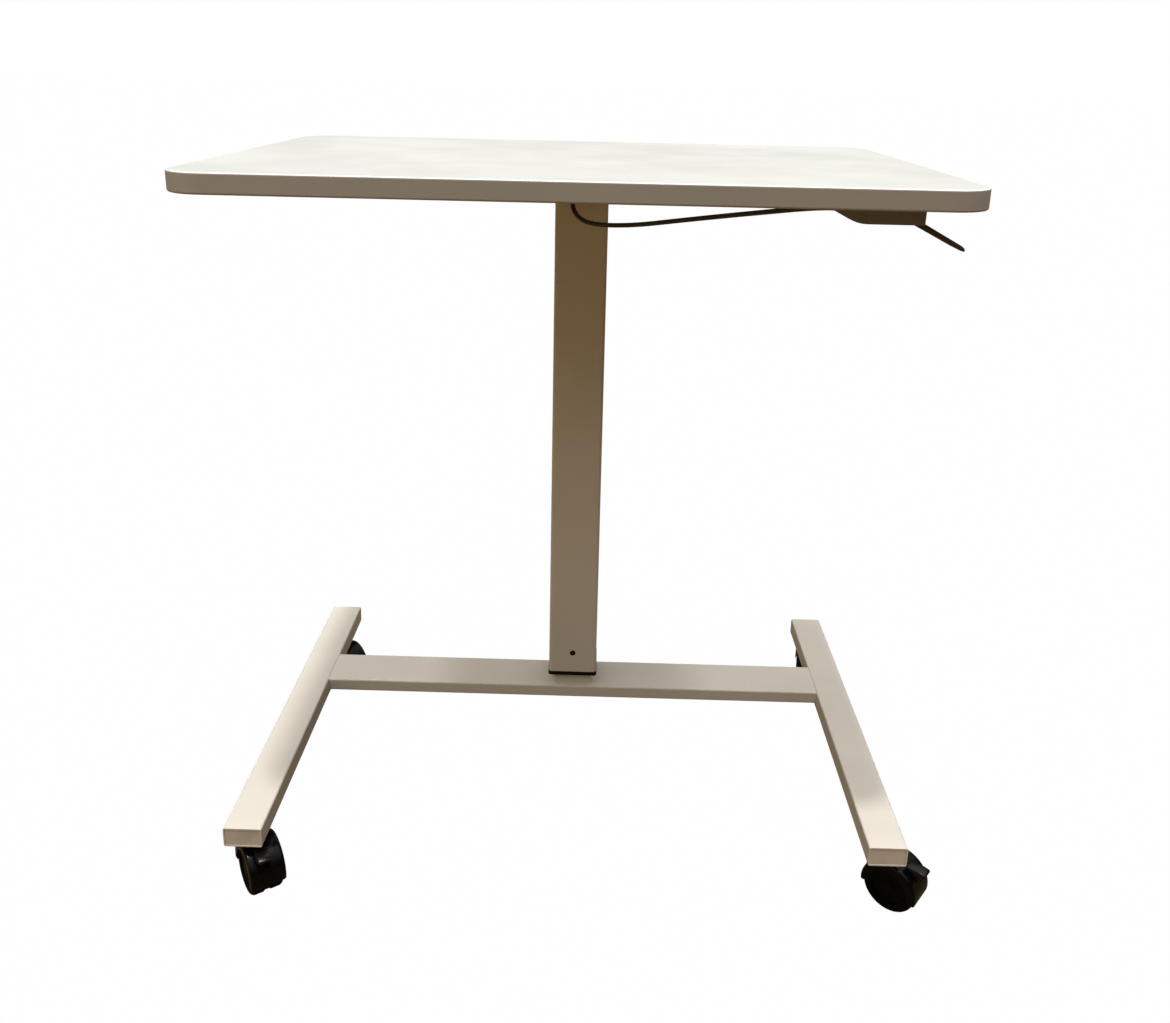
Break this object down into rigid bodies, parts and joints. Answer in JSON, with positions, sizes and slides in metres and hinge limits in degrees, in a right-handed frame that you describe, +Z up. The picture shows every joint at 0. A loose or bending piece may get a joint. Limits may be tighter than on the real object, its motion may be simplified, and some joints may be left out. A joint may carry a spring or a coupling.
{
  "type": "overbed table",
  "caption": "Overbed table: flat white top on a telescopic square column, H-shaped base on swivelling casters, height released by a hand lever under the top.",
  "frame": {"origin": "on the floor, in the middle of the bounding box with the casters as they are turned here, table at its lowest height. The middle of the top's width is at X = -0.015", "axes": "+X to the user's right along the top's long side, +Y away from the user along the side tubes, +Z up"},
  "size_m": [0.7438, 0.5163, 0.766],
  "materials": {
    "frame_paint": "semi-gloss powder coat",
    "end_cap_plastic": "fine grain",
    "zinc_plated_steel": "zinc plated",
    "guide_plastic": "matte",
    "gas_spring_paint": "satin",
    "cast_alloy": "as cast",
    "rod_chrome": "polished",
    "pin_steel": "ground",
    "black_screw": "black oxide",
    "chipboard": "sanded",
    "laminate": "smooth satin",
    "backing_sheet": "matte",
    "edge_band": "satin",
    "boot_rubber": "matte",
    "cable_sheath": "satin",
    "housing_plastic": "fine grain",
    "lever_plastic": "fine grain",
    "caster_hood_plastic": "semi-gloss",
    "caster_tread": "semi-gloss",
    "brake_plastic": "semi-gloss"
  },
  "bodies": {
    "base": {"left_leg_tube": "frame_paint", "right_leg_tube": "frame_paint", "crossbar_tube": "frame_paint", "inner_column": "frame_paint", "column_foot_plate": "zinc_plated_steel", "column_bolts": "zinc_plated_steel", "leg_weld_nuts": "zinc_plated_steel", "caster_stems": "zinc_plated_steel", "upper_guide": "guide_plastic", "gas_spring_cylinder": "gas_spring_paint", "gas_spring_gland": "cast_alloy", "gas_spring_anchor_pin": "pin_steel", "leg_end_cap_front_left": "end_cap_plastic", "leg_end_cap_front_right": "end_cap_plastic", "leg_end_cap_rear_left": "end_cap_plastic", "leg_end_cap_rear_right": "end_cap_plastic"},
    "lift": {"outer_column": "frame_paint", "lower_guide": "guide_plastic", "guide_screws": "black_screw", "top_plate": "frame_paint", "plate_gussets": "frame_paint", "plate_screws": "zinc_plated_steel", "tabletop_core": "chipboard", "tabletop_backing": "backing_sheet", "tabletop_laminate": "laminate", "tabletop_edge_band": "edge_band", "gas_spring_rod": "rod_chrome", "gas_spring_piston": "cast_alloy", "rod_lock_nut": "zinc_plated_steel", "release_head": "cast_alloy", "crank_pivot_pin": "pin_steel", "column_cable_boot": "boot_rubber", "release_cable": "cable_sheath", "lever_housing": "housing_plastic", "lever_housing_screws": "zinc_plated_steel", "lever_pivot_pin": "pin_steel", "lever_cable_ferrule": "cast_alloy"},
    "hand_lever": {"hand_lever": "lever_plastic"},
    "crank": {"release_crank": "cast_alloy"},
    "valve_pin": {"release_valve_pin": "pin_steel"},
    "crank_wire": {"release_wire_crank_end": "pin_steel"},
    "lever_wire": {"release_wire_lever_end": "pin_steel"},
    "caster_front_left": {"caster_hood_front_left": "caster_hood_plastic", "caster_axle_front_left": "pin_steel"},
    "wheel_front_left_left": {"caster_wheel_front_left_left": "caster_tread"},
    "wheel_front_left_right": {"caster_wheel_front_left_right": "caster_tread"},
    "brake_front_left": {"brake_lever_front_left": "brake_plastic"},
    "caster_front_right": {"caster_hood_front_right": "caster_hood_plastic", "caster_axle_front_right": "pin_steel"},
    "wheel_front_right_left": {"caster_wheel_front_right_left": "caster_tread"},
    "wheel_front_right_right": {"caster_wheel_front_right_right": "caster_tread"},
    "brake_front_right": {"brake_lever_front_right": "brake_plastic"},
    "caster_rear_left": {"caster_hood_rear_left": "caster_hood_plastic", "caster_axle_rear_left": "pin_steel"},
    "wheel_rear_left_left": {"caster_wheel_rear_left_left": "caster_tread"},
    "wheel_rear_left_right": {"caster_wheel_rear_left_right": "caster_tread"},
    "caster_rear_right": {"caster_hood_rear_right": "caster_hood_plastic", "caster_axle_rear_right": "pin_steel"},
    "wheel_rear_right_left": {"caster_wheel_rear_right_left": "caster_tread"},
    "wheel_rear_right_right": {"caster_wheel_rear_right_right": "caster_tread"}
  },
  "joints": [
    {"name": "column_lift", "type": "slide", "parent": "base", "child": "lift", "axis": [0, 0, 1], "range_m": [0, 0.35]},
    {"name": "hand_lever_turn", "type": "hinge", "parent": "lift", "child": "hand_lever", "pos_m": [0.271, -0.186, 0.7446], "axis": [0, -1, 0], "range_deg": [0, 16], "stiffness_Nm_per_rad": 0.5, "springref_deg": -20.05},
    {"name": "release_crank_turn", "type": "hinge", "parent": "lift", "child": "crank", "pos_m": [-0.015, 0.076, 0.7335], "axis": [-1, 0, 0], "range_deg": [0, 5.2]},
    {"name": "valve_pin_slide", "type": "slide", "parent": "lift", "child": "valve_pin", "axis": [0, 0, -1], "range_m": [0, 0.00135]},
    {"name": "crank_wire_slide", "type": "slide", "parent": "lift", "child": "crank_wire", "axis": [0, -1, 0], "range_m": [0, 0.0014]},
    {"name": "lever_wire_slide", "type": "slide", "parent": "lift", "child": "lever_wire", "axis": [1, 0, 0], "range_m": [0, 0.0014]},
    {"name": "swivel_front_left", "type": "hinge", "parent": "base", "child": "caster_front_left", "pos_m": [-0.352, -0.176, 0.056], "axis": [0, 0, 1], "continuous": true},
    {"name": "spin_front_left_left", "type": "hinge", "parent": "caster_front_left", "child": "wheel_front_left_left", "pos_m": [-0.34053, -0.19238, 0.028], "axis": [0.8192, 0.5736, 0], "continuous": true},
    {"name": "spin_front_left_right", "type": "hinge", "parent": "caster_front_left", "child": "wheel_front_left_right", "pos_m": [-0.34053, -0.19238, 0.028], "axis": [0.8192, 0.5736, 0], "continuous": true},
    {"name": "brake_front_left_turn", "type": "hinge", "parent": "caster_front_left", "child": "brake_front_left", "pos_m": [-0.33218, -0.20431, 0.03858], "axis": [0.8192, 0.5736, 0], "range_deg": [0, 10]},
    {"name": "swivel_front_right", "type": "hinge", "parent": "base", "child": "caster_front_right", "pos_m": [0.322, -0.176, 0.056], "axis": [0, 0, 1], "continuous": true},
    {"name": "spin_front_right_left", "type": "hinge", "parent": "caster_front_right", "child": "wheel_front_right_left", "pos_m": [0.33754, -0.18859, 0.028], "axis": [0.6293, 0.7771, 0], "continuous": true},
    {"name": "spin_front_right_right", "type": "hinge", "parent": "caster_front_right", "child": "wheel_front_right_right", "pos_m": [0.33754, -0.18859, 0.028], "axis": [0.6293, 0.7771, 0], "continuous": true},
    {"name": "brake_front_right_turn", "type": "hinge", "parent": "caster_front_right", "child": "brake_front_right", "pos_m": [0.34886, -0.19775, 0.03858], "axis": [0.6293, 0.7771, 0], "range_deg": [0, 10]},
    {"name": "swivel_rear_left", "type": "hinge", "parent": "base", "child": "caster_rear_left", "pos_m": [-0.352, 0.206, 0.056], "axis": [0, 0, 1], "continuous": true},
    {"name": "spin_rear_left_left", "type": "hinge", "parent": "caster_rear_left", "child": "wheel_rear_left_left", "pos_m": [-0.33862, 0.19114, 0.028], "axis": [0.7431, 0.6691, 0], "continuous": true},
    {"name": "spin_rear_left_right", "type": "hinge", "parent": "caster_rear_left", "child": "wheel_rear_left_right", "pos_m": [-0.33862, 0.19114, 0.028], "axis": [0.7431, 0.6691, 0], "continuous": true},
    {"name": "swivel_rear_right", "type": "hinge", "parent": "base", "child": "caster_rear_right", "pos_m": [0.322, 0.206, 0.056], "axis": [0, 0, 1], "continuous": true},
    {"name": "spin_rear_right_left", "type": "hinge", "parent": "caster_rear_right", "child": "wheel_rear_right_left", "pos_m": [0.32547, 0.2257, 0.028], "axis": [-0.9848, 0.1736, 0], "continuous": true},
    {"name": "spin_rear_right_right", "type": "hinge", "parent": "caster_rear_right", "child": "wheel_rear_right_right", "pos_m": [0.32547, 0.2257, 0.028], "axis": [-0.9848, 0.1736, 0], "continuous": true}
  ],
  "couplings": [
    {"joint": "release_crank_turn", "follows": "hand_lever_turn", "ratio": 0.3133},
    {"joint": "valve_pin_slide", "follows": "hand_lever_turn", "m_per_rad": 0.004387},
    {"joint": "crank_wire_slide", "follows": "hand_lever_turn", "m_per_rad": 0.0047},
    {"joint": "lever_wire_slide", "follows": "hand_lever_turn", "m_per_rad": 0.0047}
  ]
}
